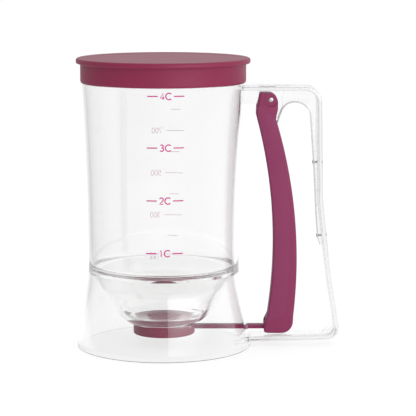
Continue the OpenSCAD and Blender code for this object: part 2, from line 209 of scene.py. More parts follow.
def layered(name, layers):
    # an outline in the XZ plane at several depths along Y, closed at both ends
    n, last = len(layers[0][1]), len(layers) - 1
    points = [(p[0], y, p[1]) for y, outline in layers for p in outline]
    faces = [list(range(n)), list(range(last * n, (last + 1) * n))]
    faces += [[k * n + i, (k + 1) * n + i, (k + 1) * n + (i + 1) % n, k * n + (i + 1) % n]
              for k in range(last) for i in range(n)]
    made = meshFrom(name, points, faces)
    tidyMesh(made)
    return made


def plate(name, outline, width, middle=0):
    return layered(name, [(middle - width / 2, outline), (middle + width / 2, outline)])


def roundedPlate(name, corners, width, edge, steps=3):
    # a plate whose long edges are rounded, as layers of ever less inset outlines
    area = sum(a[0] * b[1] - b[0] * a[1] for a, b in zip(corners, corners[1:] + corners[:1]))
    inward = 1 if area > 0 else -1
    layers = []
    for t in spread(0, math.pi / 2, steps):
        inset = edge * (1 - math.sin(t))
        layers.append((edge * (1 - math.cos(t)) - width / 2,
                       roundedOutline(shiftedPath(corners, inward * inset, True), steps=8)))
    return layered(name, layers + [(-y, outline) for y, outline in reversed(layers)])


def block(name, low, high):
    (x0, y0, z0), (x1, y1, z1) = low, high
    return plate(name, [(x0, z0), (x1, z0), (x1, z1), (x0, z1)], y1 - y0, (y0 + y1) / 2)


def crossBar(name, x, z, radius, length, middle=0, steps=48):
    turns = [2 * math.pi * i / steps for i in range(steps)]
    outline = [(x + radius * math.cos(t), z + radius * math.sin(t)) for t in turns]
    return plate(name, outline, length, middle)


def nodeTree(name, sockets):
    # besides its own sockets, every tree takes a mesh and the finish that it gets
    tree = bpy.data.node_groups.new(name, "GeometryNodeTree")
    for label, kind in [("Geometry", "Geometry"), *sockets, ("Finish", "Material")]:
        tree.interface.new_socket(label, in_out="INPUT", socket_type="NodeSocket" + kind)
    tree.interface.new_socket("Geometry", in_out="OUTPUT", socket_type="NodeSocketGeometry")
    return tree


def addNode(tree, kind, **settings):
    made = tree.nodes.new(kind)
    inputs = settings.pop("inputs", {})
    for key, value in settings.items():
        setattr(made, key, value)
    for key, value in inputs.items():
        socket = made.inputs[key]
        if isinstance(value, bpy.types.NodeSocket):
            tree.links.new(value, socket)
        else:
            socket.default_value = value
    return made


def mathNode(tree, operation, *values):
    inputs = dict(enumerate(values))
    return addNode(tree, "ShaderNodeMath", operation=operation, inputs=inputs).outputs[0]


def makers(tree):
    return partial(addNode, tree), partial(mathNode, tree)


def endTree(tree, given, geometry):
    real = addNode(tree, "GeometryNodeRealizeInstances", inputs={"Geometry": geometry})
    done = addNode(tree, "GeometryNodeSetMaterial", inputs={
        "Geometry": real.outputs[0], "Material": given["Finish"]})
    addNode(tree, "NodeGroupOutput", inputs={0: done.outputs[0]})
    return tree


def turningTree():
    # each column of a grid takes the profile's points, turned by its share of a full turn
    tree = nodeTree("turning", [("Profile Points", "Int"), ("Steps", "Int")])
    node, calc = makers(tree)
    given = node("NodeGroupInput").outputs
    grid = node("GeometryNodeMeshGrid", inputs={
        "Size X": 1.0, "Size Y": 1.0,
        "Vertices X": calc("ADD", given["Steps"], 1), "Vertices Y": given["Profile Points"]})
    index = node("GeometryNodeInputIndex").outputs[0]
    column = calc("FLOOR", calc("DIVIDE", calc("ADD", index, 0.5), given["Profile Points"]))
    row = calc("SUBTRACT", index, calc("MULTIPLY", column, given["Profile Points"]))
    sample = node("GeometryNodeSampleIndex", data_type="FLOAT_VECTOR", domain="POINT", inputs={
        "Geometry": given["Geometry"], "Value": node("GeometryNodeInputPosition").outputs[0],
        "Index": row})
    spot = node("ShaderNodeSeparateXYZ", inputs={0: sample.outputs[0]}).outputs
    turn = calc("MULTIPLY", calc("DIVIDE", column, given["Steps"]), 2 * math.pi)
    place = node("ShaderNodeCombineXYZ", inputs={
        0: calc("MULTIPLY", spot[0], calc("COSINE", turn)),
        1: calc("MULTIPLY", spot[0], calc("SINE", turn)), 2: spot[2]})
    moved = node("GeometryNodeSetPosition", inputs={
        "Geometry": grid.outputs[0], "Position": place.outputs[0]})
    merged = node("GeometryNodeMergeByDistance", inputs={
        "Geometry": moved.outputs[0], "Distance": 1e-6})
    return endTree(tree, given, merged.outputs[0])


def stripTree():
    # a rectangle swept along the given edges, its width along Y
    tree = nodeTree("sweptStrip", [("Width", "Float"), ("Thickness", "Float")])
    given = addNode(tree, "NodeGroupInput").outputs
    path = addNode(tree, "GeometryNodeMeshToCurve", inputs={"Mesh": given["Geometry"]}).outputs[0]
    flat = addNode(tree, "GeometryNodeSetCurveNormal", mode="FREE", inputs={
        "Curve": path, "Normal": (0, 1, 0)}).outputs[0]
    profile = addNode(tree, "GeometryNodeCurvePrimitiveQuadrilateral", inputs={
        "Width": given["Width"], "Height": given["Thickness"]}).outputs[0]
    swept = addNode(tree, "GeometryNodeCurveToMesh", inputs={
        "Curve": flat, "Profile Curve": profile, "Fill Caps": True}).outputs[0]
    return endTree(tree, given, swept)


turning = turningTree()
strip = stripTree()


def runTree(made, tree, finish, **values):
    step = made.modifiers.new(tree.name, "NODES")
    step.node_group = tree
    given = {"Finish": finish, **values}
    for item in tree.interface.items_tree:
        if item.in_out == "INPUT" and item.name in given:
            step[item.identifier] = given[item.name]
    applyModifiers(made)
    return made


def pathMesh(name, *paths):
    # each path is a row of points (x, z), or (x, z, y), that ends where it starts if it is closed
    points, edges = [], []
    for path in paths:
        closed = (Vector(path[0]) - Vector(path[-1])).length < 1e-6
        first, count = len(points), len(path) - (1 if closed else 0)
        points += [(p[0], p[2] if len(p) > 2 else 0, p[1]) for p in path[:count]]
        edges += [(first + i, first + (i + 1) % count) for i in range(count if closed else count - 1)]
    return meshFrom(name, points, (), edges)


def turned(name, profile, finish=None, steps=144):
    # a profile of points (radius, z), turned round the Z axis
    ring = list(profile) + [profile[0]]
    made = meshFrom(name, [(r, 0, z) for r, z in ring], (), [(i, i + 1) for i in range(len(ring) - 1)])
    runTree(made, turning, finish, **{"Profile Points": len(ring), "Steps": steps})
    return cleaned(made)


def groupTree(name, inputs, outputs):
    tree = bpy.data.node_groups.new(name, "ShaderNodeTree")
    for label, kind, value in inputs:
        made = tree.interface.new_socket(label, in_out="INPUT", socket_type="NodeSocket" + kind)
        made.default_value = value
    for label, kind in outputs:
        tree.interface.new_socket(label, in_out="OUTPUT", socket_type="NodeSocket" + kind)
    return tree


def surface(grain, wave, drift, roughness, scuffs):
    # grain and wave are each a size in millimetres and a strength
    return {"Grain Size": grain[0], "Grain": grain[1], "Wave Size": wave[0], "Wave": wave[1],
            "Drift": drift, "Roughness": roughness, "Scuffs": scuffs}


moulding = {
    "grainDetail": 3.0, "grainTint": 0.1, "waveDetail": 1.0, "driftDetail": 3.0,
    "scuffScale": 1400.0, "scuffStretch": (1.0, 1.0, 0.12), "scuffTurn": (0.5, 0.3, 0.2),
    "scuffDetail": 4.0, "scuffBreak": 0.7, "scuffEdge": 0.58, "slowScuffs": 0.2,
}


def mouldedSurface():
    # fine grain, a slow waviness and a slight drift of colour, as on moulded plastic
    usual = surface(grain=(0.3, 0.3), wave=(20, 0.2), drift=0.05, roughness=0.3, scuffs=0.1)
    tree = groupTree("mouldedSurface", [("Colour", "Color", (1, 1, 1, 1))] + [
        (label, "Float", value) for label, value in usual.items()],
        [("Colour", "Color"), ("Roughness", "Float"), ("Height", "Float")])
    node, calc = makers(tree)
    given = node("NodeGroupInput").outputs
    place = node("ShaderNodeTexCoord").outputs["Object"]

    def noise(size, detail, offset=0.0):
        moved = node("ShaderNodeVectorMath", operation="ADD", inputs={0: place, 1: (offset,) * 3})
        scale = calc("DIVIDE", 1 / mm, size)
        return node("ShaderNodeTexNoise", inputs={
            "Vector": moved.outputs[0], "Scale": scale, "Detail": detail}).outputs[0]

    def around(value, amount):
        return calc("MULTIPLY", calc("SUBTRACT", value, 0.5), amount)

    grain = around(noise(given["Grain Size"], moulding["grainDetail"]), given["Grain"])
    wave = around(noise(given["Wave Size"], moulding["waveDetail"], 0.3), given["Wave"])
    slow = noise(given["Wave Size"], moulding["driftDetail"], 0.7)
    speckle = calc("MULTIPLY", grain, moulding["grainTint"])
    bright = calc("ADD", 1.0, calc("ADD", around(slow, given["Drift"]), speckle))
    tinted = node("ShaderNodeVectorMath", operation="SCALE", inputs={
        0: given["Colour"], "Scale": bright})
    streaks = node("ShaderNodeMapping", inputs={
        "Vector": place, "Scale": moulding["scuffStretch"], "Rotation": moulding["scuffTurn"]})
    scuff = node("ShaderNodeTexNoise", inputs={
        "Vector": streaks.outputs[0], "Scale": moulding["scuffScale"], "Detail": moulding["scuffDetail"],
        "Roughness": moulding["scuffBreak"]}).outputs[0]
    scuffed = calc("MAXIMUM", calc("SUBTRACT", scuff, moulding["scuffEdge"]), 0.0)
    rough = calc("ADD", given["Roughness"], calc("MULTIPLY", scuffed, given["Scuffs"]))
    rough = calc("ADD", rough, around(slow, calc("MULTIPLY", given["Scuffs"], moulding["slowScuffs"])))
    node("NodeGroupOutput", inputs={
        "Colour": tinted.outputs[0], "Roughness": rough, "Height": calc("ADD", grain, wave)})
    return tree


moulded = mouldedSurface()


def newFinish(name):
    made = bpy.data.materials.new(name)
    made.use_nodes = True
    made.node_tree.nodes.clear()
    return made, made.node_tree


def mouldedShader(tree, colour, look, bump, shader):
    group = addNode(tree, "ShaderNodeGroup", node_tree=moulded, inputs={"Colour": (*colour, 1), **look})
    relief = addNode(tree, "ShaderNodeBump", inputs={
        "Strength": 1.0, "Distance": bump * mm, "Height": group.outputs["Height"]})
    return addNode(tree, "ShaderNodeBsdfPrincipled", inputs={
        "Base Color": group.outputs["Colour"], "Roughness": group.outputs["Roughness"],
        "Normal": relief.outputs[0], **shader}).outputs[0]


def opaqueFinish(name, colour, look, bump, specular=0.5, **shader):
    made, tree = newFinish(name)
    shader["Specular IOR Level"] = specular
    body = mouldedShader(tree, colour, look, bump, shader)
    addNode(tree, "ShaderNodeOutputMaterial", inputs={0: body})
    return made


clearShade = {"shadow": (0.93, 0.93, 0.935, 1), "deep": (0.08, 0.0, 0.06, 1), "IOR": 1.57}


def clearFinish(name, colour, look, bump, density):
    # density is what the plastic takes from light in a metre, so that only thick bars look grey
    made, tree = newFinish(name)
    body = mouldedShader(tree, colour, look, bump, {
        "Transmission Weight": 1.0, "Metallic": 0.0, "IOR": clearShade["IOR"]})
    through = addNode(tree, "ShaderNodeBsdfTransparent", inputs={"Color": clearShade["shadow"]})
    shadow = addNode(tree, "ShaderNodeLightPath").outputs["Is Shadow Ray"]
    mixed = addNode(tree, "ShaderNodeMixShader", inputs={0: shadow, 1: body, 2: through.outputs[0]})
    depth = addNode(tree, "ShaderNodeVolumeAbsorption", inputs={
        "Color": clearShade["deep"], "Density": density})
    addNode(tree, "ShaderNodeOutputMaterial", inputs={
        "Surface": mixed.outputs[0], "Volume": depth.outputs[0]})
    return made


plumSurface = surface(grain=(0.25, 0.5), wave=(18, 0.6), drift=0.08, roughness=0.46, scuffs=0.25)
inkSurface = surface(grain=(0.15, 0.5), wave=(3, 0.3), drift=0.1, roughness=0.5, scuffs=0.2)
clearPlastic = clearFinish("clearPlastic", (0.985, 0.988, 0.985), surface(
    grain=(0.5, 0.0), wave=(26, 1.0), drift=0.01, roughness=0.0, scuffs=0.03), bump=0.02, density=1.0)
clearHandle = clearFinish("clearHandle", (0.985, 0.985, 0.988), surface(
    grain=(0.5, 0.0), wave=(14, 1.0), drift=0.01, roughness=0.07, scuffs=0.02), bump=0.02, density=5.0)
plumPlastic = opaqueFinish(
    "plumPlastic", (0.200, 0.015, 0.054), plumSurface, bump=0.012, specular=0.26, IOR=1.5)
plumLever = opaqueFinish(
    "plumLever", (0.205, 0.025, 0.080), plumSurface, bump=0.012, specular=0.22, IOR=1.5)
plumGrip = opaqueFinish("plumGrip", (0.205, 0.028, 0.088), surface(
    grain=(0.3, 1.0), wave=(14, 0.5), drift=0.06, roughness=0.52, scuffs=0.25),
    bump=0.02, specular=0.25, IOR=1.5)
sealSilicone = opaqueFinish("sealSilicone", (0.280, 0.020, 0.090), surface(
    grain=(0.4, 0.4), wave=(9, 0.6), drift=0.08, roughness=0.6, scuffs=0.15),
    bump=0.012, specular=0.2, IOR=1.42)
markInk = opaqueFinish("markInk", (0.50, 0.018, 0.20), inkSurface, bump=0.003, specular=0.2)
paleInk = opaqueFinish("paleInk", (0.62, 0.06, 0.36), inkSurface, bump=0.003, specular=0.2, Alpha=0.45)
steel = opaqueFinish("steel", (0.62, 0.62, 0.61), surface(
    grain=(0.2, 0.5), wave=(6, 0.4), drift=0.1, roughness=0.3, scuffs=0.5), bump=0.006, Metallic=1.0)
bondFace, bondTree = newFinish("bondFace")   # where two clear pieces are welded, light goes straight on
addNode(bondTree, "ShaderNodeOutputMaterial", inputs={
    0: addNode(bondTree, "ShaderNodeBsdfTransparent").outputs[0]})
print("finishes made")


clearBody = {
    "waistR": 48.7, "waistZ": 56.0, "blendH": 18.6,      # the hourglass outside
    "topR": 52.3, "shoulderZ": 171.5, "neckStep": 1.1,
    "wall": 2.5, "standWall": 2.3, "standEdge": 0.8, "seamZ": 49.0, "seamGap": 0.02,
    "ledgeRise": 2.2, "ledgeW": 4.3, "ledgeRound": 4.0, "ledgeLip": 2.5,  # the tube's end
    "slope": 60, "bowlWall": 2.6, "outRound": 30, "outTangentZ": 26, "bendZ": 39, "bendRound": 45,
    "floorZ": 21.6, "outletR": 11.4, "outletRound": 0.8, "outletZ": 19.2,
    "slotIn": 40, "slotOut": 62, "slotH": 3.4, "slotPlay": 1,      # the rod's way out of the stand
}
baseR = lowHigh("stand_skirt")[1].y
rimZ = lowHigh("container")[1].z
flareZ = clearBody["waistZ"] - clearBody["blendH"]
flareK = (baseR - clearBody["waistR"]) / (clearBody["blendH"] ** 2 + 2 * clearBody["blendH"] * flareZ)


def bodyR(z):
    b = clearBody
    if z >= b["waistZ"]:
        share = (z - b["waistZ"]) / (b["shoulderZ"] - b["waistZ"])
        return b["waistR"] + (b["topR"] - b["waistR"]) * share ** 2
    if z >= flareZ:
        return b["waistR"] + flareK * (b["waistZ"] - z) ** 2
    return baseR - 2 * flareK * b["blendH"] * z


seamInR = bodyR(clearBody["seamZ"]) - clearBody["standWall"]
neckR = clearBody["topR"] - clearBody["neckStep"]
boreTopR = clearBody["topR"] - clearBody["wall"]

valve = {"faceZ": 17.5, "cupR": 20.0, "gap": 0.3, "lipT": 1.7, "footT": 0.8, "footIn": 1.4,
         "railL": 18.0}
footZ = lowHigh("container")[0].z
channelR = valve["cupR"] + valve["gap"]
rodLow, rodHigh = lowHigh("valve_rod")
rodZ = (rodLow.z + rodHigh.z) / 2
rodW = rodHigh.y - rodLow.y
rodT, rodBite = 2.2, 6      # how thick the rod is, and how far it goes into the cup


def roundAbout(centre, radius, first, last, steps):
    # from slope to slope, seen as the underside of a round bowl
    return [(centre[0] + radius * math.sin(t), centre[1] - radius * math.cos(t))
            for t in spread(first, last, steps)]


def bowlOutside():
    # slope of the cone, then centre of the round that runs on into the foot
    b = clearBody
    slope = math.radians(b["slope"])
    tangentR = seamInR - (b["seamZ"] - b["outTangentZ"]) / math.tan(slope)
    return slope, Vector((tangentR - b["outRound"] * math.sin(slope),
                          b["outTangentZ"] + b["outRound"] * math.cos(slope)))


def bowlInside(ledge):
    # steep below the ledge, then at an even wall from the outside down to the floor
    b = clearBody
    slope, centre = bowlOutside()
    radius = b["outRound"] - b["bowlWall"]
    low = centre + radius * Vector((math.sin(slope), -math.cos(slope)))
    bendR = low.x + (b["bendZ"] - low.y) / math.tan(slope)
    inward = ledge + Vector((b["ledgeLip"], 0.3))
    side = roundedOutline([(*inward, 0), (*ledge, b["ledgeLip"]), (bendR, b["bendZ"], b["bendRound"]),
                           (*low, 0)], False, 10)
    floorTurn = math.acos((centre.y - b["floorZ"]) / radius)
    return side[1:-1] + roundAbout(centre, radius, slope, floorTurn, 14)


def containerProfile():
    b = clearBody
    slope, centre = bowlOutside()
    ledgeZ = b["seamZ"] + b["ledgeRise"]
    boreLowZ = ledgeZ + b["ledgeRound"]
    ledgeR = bodyR(boreLowZ) - b["wall"] - b["ledgeW"]
    footTurn = math.acos((centre.y - footZ) / b["outRound"])
    profile = [(bodyR(z), z) for z in spread(b["seamZ"] + b["seamGap"], b["shoulderZ"], 40)]
    profile += [(neckR + 0.3, b["shoulderZ"]), (neckR, b["shoulderZ"] + 0.3), (neckR, rimZ - 0.6),
                (neckR - 0.2, rimZ - 0.15), (neckR - 0.5, rimZ), (boreTopR + 0.4, rimZ),
                (boreTopR + 0.1, rimZ - 0.15), (boreTopR, rimZ - 0.6)]
    profile += [(bodyR(z) - b["wall"], z) for z in spread(b["shoulderZ"], boreLowZ + 1, 40)]
    profile += [(ledgeR + b["ledgeW"] * math.cos(t), ledgeZ + b["ledgeRound"] * (1 - math.sin(t)))
                for t in spread(0, math.pi / 2, 10)][:-1]
    profile += bowlInside(Vector((ledgeR, ledgeZ)))
    profile += [(b["outletR"] + b["outletRound"] * (1 - math.sin(t)),
                 b["outletZ"] - b["outletRound"] * (1 - math.cos(t))) for t in spread(0, math.pi / 2, 4)]
    profile += [(b["outletR"], footZ)] + roundAbout(centre, b["outRound"], footTurn, slope, 20)
    return profile + [(seamInR, b["seamZ"] + b["seamGap"])]


def onSeam(centre):
    return abs(centre.z - clearBody["seamZ"]) < 0.1 and math.hypot(centre.x, centre.y) > seamInR


def channelCutter(name, radius, low, high):
    disc = turned(name, [(0, low), (radius, low), (radius, high), (0, high)], steps=96)
    way = block(name + "Way", (0, -radius, low), (2 * channelR, radius, high))
    return combine(disc, "UNION", way)


def makeContainer():
    outside = bowlOutside()[1]
    made = turned("containerShell", containerProfile(), clearPlastic)
    railTop = outside[1] - math.sqrt(clearBody["outRound"] ** 2 - (channelR - outside[0]) ** 2) + 2
    for side in (-1, 1):
        middle = side * (channelR + valve["lipT"] / 2)
        rail = block("rail", (0, middle - valve["lipT"] / 2, footZ),
                     (valve["railL"], middle + valve["lipT"] / 2, railTop))
        combine(made, "UNION", rail)
    combine(made, "DIFFERENCE",
            channelCutter("flangeWay", channelR, footZ + valve["footT"], valve["faceZ"]),
            channelCutter("footWay", channelR - valve["footIn"], footZ - 1, valve["faceZ"]),
            block("railEnds", (valve["railL"], -channelR - 4, footZ - 1),
                  (40, channelR + 4, valve["faceZ"])))
    return give(cleaned(made), "body", clearPlastic, "clear_plastic", "container", bonded=onSeam)


def makeSkirt():
    b = clearBody
    top, edge = b["seamZ"] - b["seamGap"], b["standEdge"]
    profile = [(baseR - b["standWall"] + 0.3, 0), (baseR - edge, 0), (baseR - 0.25, 0.25),
               (bodyR(edge), edge)]
    profile += [(bodyR(z), z) for z in spread(4, top, 30)]
    profile += [(bodyR(z) - b["standWall"], z) for z in spread(top, 0.3, 30)]
    made = turned("skirtShell", profile, clearPlastic)
    slotW = rodW + b["slotPlay"]
    combine(made, "DIFFERENCE", block("slot", (b["slotIn"], -slotW / 2, rodZ - b["slotH"] / 2),
                                      (b["slotOut"], slotW / 2, rodZ + b["slotH"] / 2)))
    return give(cleaned(made), "body", clearPlastic, "clear_plastic", "stand_skirt", bonded=onSeam)


makeContainer()
makeSkirt()
print("clear body made")


cupScale = {"heights": (68.26, 101.58, 134.81, 166.96), "turn": 0, "middle": 1.4, "lean": 0.0127,
            "stroke": 0.72, "size": 4.0, "digitX": -2.2, "unitX": 1.95, "dash": 6.6, "dashX": 8.3}
backScale = {"low": 49.8, "step": 14.24, "marks": 8, "turn": 180, "middle": -5.2, "lean": -0.0235,
             "stroke": 0.34, "size": 3.45, "digitStep": 2.5, "digitX": 12.9, "short": 6.6, "long": 12.4}
ink = {"thickness": 0.05, "lift": 0.01, "layer": 0.004}


def glyphArc(x, z, wide, high, first, last, steps=16):
    turns = [math.radians(t) for t in spread(first, last, steps)]
    return [(x + wide * math.cos(t), z + high * math.sin(t)) for t in turns]


# plain characters, one unit high, as the strokes of a pen
glyphs = {
    "0": [glyphArc(0, 0.5, 0.27, 0.5, 0, 360, 28)],
    "1": [[(-0.14, 0.8), (0.04, 0.98), (0.04, 0)]],
    "2": [glyphArc(0, 0.72, 0.28, 0.28, 165, -40) + [(-0.28, 0), (0.3, 0)]],
    "3": [glyphArc(-0.02, 0.76, 0.24, 0.24, 150, -90), glyphArc(-0.02, 0.27, 0.28, 0.27, 100, -150)],
    "4": [[(0.12, 0), (0.12, 1), (-0.32, 0.27), (0.34, 0.27)]],
    "5": [[(0.24, 1), (-0.13, 1), (-0.2, 0.55)], glyphArc(-0.02, 0.33, 0.28, 0.33, 132, -145)],
    "7": [[(-0.28, 1), (0.28, 1), (-0.1, 0)]],
    "C": [glyphArc(0, 0.5, 0.5, 0.5, 46, 314, 24)],
}


def placed(strokes, size, x, z):
    # every stroke lies a little over the one before, as ink does where a pen crosses its line
    return [[(x + p[0] * size, z + (p[1] - 0.5) * size, -ink["layer"] * i) for p in stroke]
            for i, stroke in enumerate(strokes)]


def dashStroke(middle, length, z):
    return [(x, z, 0) for x in spread(middle - length / 2, middle + length / 2, 8)]


def printTree():
    # flat strokes, x along the tube's girth and z up, laid on the outside of the clear body
    tree = nodeTree("tubePrint", [(label, "Float") for label in (
        "Turn", "Middle", "Lean", "Lift", "Waist Radius", "Waist Height", "Swell", "Flare")])
    node, calc = makers(tree)
    given = node("NodeGroupInput").outputs
    x, y, z = node("ShaderNodeSeparateXYZ", inputs={
        0: node("GeometryNodeInputPosition").outputs[0]}).outputs
    above = calc("SUBTRACT", z, given["Waist Height"])

    def grown(height, share):
        clipped = calc("MAXIMUM", height, 0)
        return calc("MULTIPLY", calc("MULTIPLY", clipped, clipped), share)

    swell = grown(above, given["Swell"])
    flare = grown(calc("MULTIPLY", above, -1), given["Flare"])
    outside = calc("ADD", given["Waist Radius"], calc("ADD", swell, flare))
    radius = calc("SUBTRACT", calc("ADD", outside, given["Lift"]), y)
    leaned = calc("ADD", given["Middle"], calc("MULTIPLY", above, given["Lean"]))
    angle = calc("ADD", calc("DIVIDE", calc("ADD", x, leaned), outside), given["Turn"])
    place = node("ShaderNodeCombineXYZ", inputs={
        0: calc("MULTIPLY", radius, calc("SINE", angle)),
        1: calc("MULTIPLY", calc("MULTIPLY", radius, calc("COSINE", angle)), -1), 2: z})
    moved = node("GeometryNodeSetPosition", inputs={
        "Geometry": given["Geometry"], "Position": place.outputs[0]})
    return endTree(tree, given, moved.outputs[0])


tubePrint = printTree()


def makePrint(name, scale, finish, strokes):
    b = clearBody
    made = pathMesh(name, *strokes)
    runTree(made, strip, finish, Width=ink["thickness"] * mm, Thickness=scale["stroke"] * mm)
    runTree(made, tubePrint, finish, **{
        "Turn": math.radians(scale["turn"]), "Middle": scale["middle"] * mm, "Lean": scale["lean"],
        "Lift": (ink["lift"] + ink["thickness"] / 2) * mm, "Waist Radius": b["waistR"] * mm,
        "Waist Height": b["waistZ"] * mm,
        "Swell": (b["topR"] - b["waistR"]) / (b["shoulderZ"] - b["waistZ"]) ** 2 / mm,
        "Flare": flareK / mm})
    tidyMesh(made)
    return give(made, "body", finish, "plum_plastic")


def makeCupScale():
    c = cupScale
    strokes = []
    for i, z in enumerate(c["heights"]):
        strokes += placed(glyphs[str(i + 1)], c["size"], c["digitX"], z)
        strokes += placed(glyphs["C"], c["size"], c["unitX"], z)
        strokes += [dashStroke(side * c["dashX"], c["dash"], z) for side in (-1, 1)]
    return makePrint("cupScale", c, markInk, strokes)


def makeBackScale():
    # every hundred has its mark, and the odd ones have a longer mark and their number
    b = backScale
    strokes = []
    for i in range(b["marks"]):
        z = b["low"] + i * b["step"]
        strokes.append(dashStroke(0, b["short"] if i % 2 else b["long"], z))
        if i % 2 == 0:
            for k, digit in enumerate(str(100 * (i + 1))):
                strokes += placed(glyphs[digit], b["size"], b["digitX"] + (k - 1) * b["digitStep"], z)
    return makePrint("backScale", b, paleInk, strokes)


makeCupScale()
makeBackScale()
print("scales printed")


lid = {"wall": 1.9, "overhang": 2.75, "plugDepth": 5.0, "plugWall": 1.3, "plugTaper": 0.3, "fit": 0.15,
       "skirtTaper": 0.35, "taperH": 1.2, "dish": 0.3, "dishW": 6.0}


def makeLid():
    skirtZ, top = (corner.z for corner in lowHigh("lid"))
    skirtR, plugR = neckR + lid["fit"], boreTopR - lid["fit"]
    plugInR, plugZ = plugR - lid["plugWall"], rimZ - lid["plugDepth"]
    outR = skirtR + lid["wall"]
    rimR = outR + lid["overhang"]
    dishR, dishZ = rimR - lid["dishW"], top - lid["dish"]
    corners = [(0, rimZ, 0), (plugInR, rimZ, 0.5), (plugInR, plugZ, 0.4),
               (plugR - lid["plugTaper"], plugZ, 0.4), (plugR, plugZ + lid["taperH"], 0.6),
               (plugR, rimZ, 0.3), (skirtR, rimZ, 0.3), (skirtR, skirtZ, 0.1),
               (outR - lid["skirtTaper"], skirtZ, 0.3), (outR, skirtZ + lid["taperH"], 0.8),
               (outR, rimZ, 0.7), (rimR, rimZ, 0.9), (rimR, top, 1.4),
               (dishR + 2, top, 4), (dishR, dishZ, 4), (0, dishZ, 0)]
    made = turned("lidShell", roundedOutline(corners, steps=5), plumPlastic)
    return give(made, "lid", plumPlastic, "plum_plastic", "lid")


makeLid()
print("lid made")


handle = {
    "width": 18.0, "thickness": 3.4, "top": 170.0, "reachTop": 101.7, "reachLow": 115.2, "low": 4.5,
    "leanZ": 97.0, "leantZ": 48.0, "cornerTopR": 11.0, "cornerLowR": 8.0, "start": 39.7,
    "webH": 10.5, "webEndZ": 66.5, "webT": 2.5, "padT": 4.0, "edge": 1.3, "webEdge": 0.45,
    "leanOut": 1.1, "leantIn": 7, "leanRounds": (120, 200), "lowDrop": 2.2,
    "archX": 8.9, "archGap": 3.8, "archRounds": (0.52, 0.64), "archTip": (4.7, -12.3),
    "webX": 6, "webDrop": 1.7, "padX": 7.2, "bodyGap": 0.02,
}


def pinShape(name):
    # x, z and radius of a pin that lies across the handle
    low, high = lowHigh(name)
    return (low.x + high.x) / 2, (low.z + high.z) / 2, (high.x - low.x) / 2


pivotX, pivotZ, pivotR = pinShape("pivot_pin")
rodPinX, rodPinR = pinShape("rod_pin")[::2]
boreR = pivotR + 0.05
framePath = [
    (handle["start"], handle["top"], 0), (handle["reachTop"], handle["top"], handle["cornerTopR"]),
    (handle["reachTop"] + handle["leanOut"], handle["leanZ"], handle["leanRounds"][0]),
    (handle["reachLow"] - handle["leantIn"], handle["leantZ"], handle["leanRounds"][1]),
    (handle["reachLow"], handle["low"], handle["cornerLowR"]),
    (handle["start"], handle["low"] - handle["lowDrop"], 0)]
frameIn = shiftedPath(framePath, -handle["thickness"])


def legX(z):
    # distance of the rear leg's inner face from the body's axis
    for (lowX, lowZ, _), (highX, highZ, _) in zip(frameIn[4:1:-1], frameIn[3:0:-1]):
        if z <= highZ:
            return lowX + (highX - lowX) * (z - lowZ) / (highZ - lowZ)
    return frameIn[1][0]


archZ = handle["top"] - handle["webH"]
archX = pivotX + handle["archX"]
archW = legX(archZ) - handle["archGap"] - archX
archPath = [(pivotX + handle["archTip"][0], pivotZ + handle["archTip"][1], 0),
            (archX, archZ, handle["archRounds"][0] * archW),
            (archX + archW, archZ, handle["archRounds"][1] * archW)]
for height, inward, cornerR in ((handle["leanZ"] + 16, 1.25, 150), (handle["leanZ"] - 9, 1.2, 60),
                                (handle["webEndZ"] + 4, 1.8, 4), (handle["webEndZ"], 0.85, 0)):
    archPath.append((legX(height) - inward, height, cornerR))


def legInside():
    step = (archZ - 14 - handle["webEndZ"]) / 6
    heights = [handle["webEndZ"] - 4 + i * step for i in range(7)]
    return [Vector((legX(z) + handle["thickness"] / 2, z)) for z in heights]


def upperCorner(startX):
    x, z = (handle[side] - handle["thickness"] / 2 for side in ("reachTop", "top"))
    return roundedOutline([(x, archZ - 13, 0), (x, z, 9), (startX, z, 0)], False)


def makeFrame():
    h = handle
    made = roundedPlate("frameStrip", stripCorners(framePath, -h["thickness"]), h["width"], h["edge"], 4)
    arch = roundedOutline(archPath, False)
    webX, webZ, padX = pivotX - h["webX"], archZ - h["webDrop"], pivotX + h["padX"]
    web = roundedPlate("web", withRadius(
        arch + legInside() + upperCorner(h["start"])
        + [(h["start"], webZ), (webX, webZ), (webX + 1, pivotZ - 11.4), (webX + 3, pivotZ - 13.9)]),
        h["webT"], h["webEdge"])
    pad = roundedPlate("pad", withRadius(
        [p for p in arch if p[0] > padX] + legInside() + upperCorner(padX + 3) + [(padX, archZ + 2.7)]),
        h["padT"], h["webEdge"])
    x, z = frameIn[4][:2]
    gusset = plate("gusset", [(x - 9, z - 1), (x + 1.5, z - 1), (x + 0.8, z + 12), (x - 1.2, z + 11),
                              (x - 3.4, z + 5.4), (x - 6, z + 2)], h["webT"])
    combine(made, "UNION", web, pad, gusset)
    low, high = -1, clearBody["shoulderZ"] + 2
    bodySolid = turned("bodySolid", [(0, low)] + [
        (bodyR(max(0, z)) + h["bodyGap"], z) for z in spread(low, high, 90)] + [(0, high)])
    combine(made, "DIFFERENCE", bodySolid, crossBar("bore", pivotX, pivotZ, boreR, h["width"]))
    return give(cleaned(made), "body", clearHandle, "clear_plastic", "handle_frame")


makeFrame()
print("handle frame made")


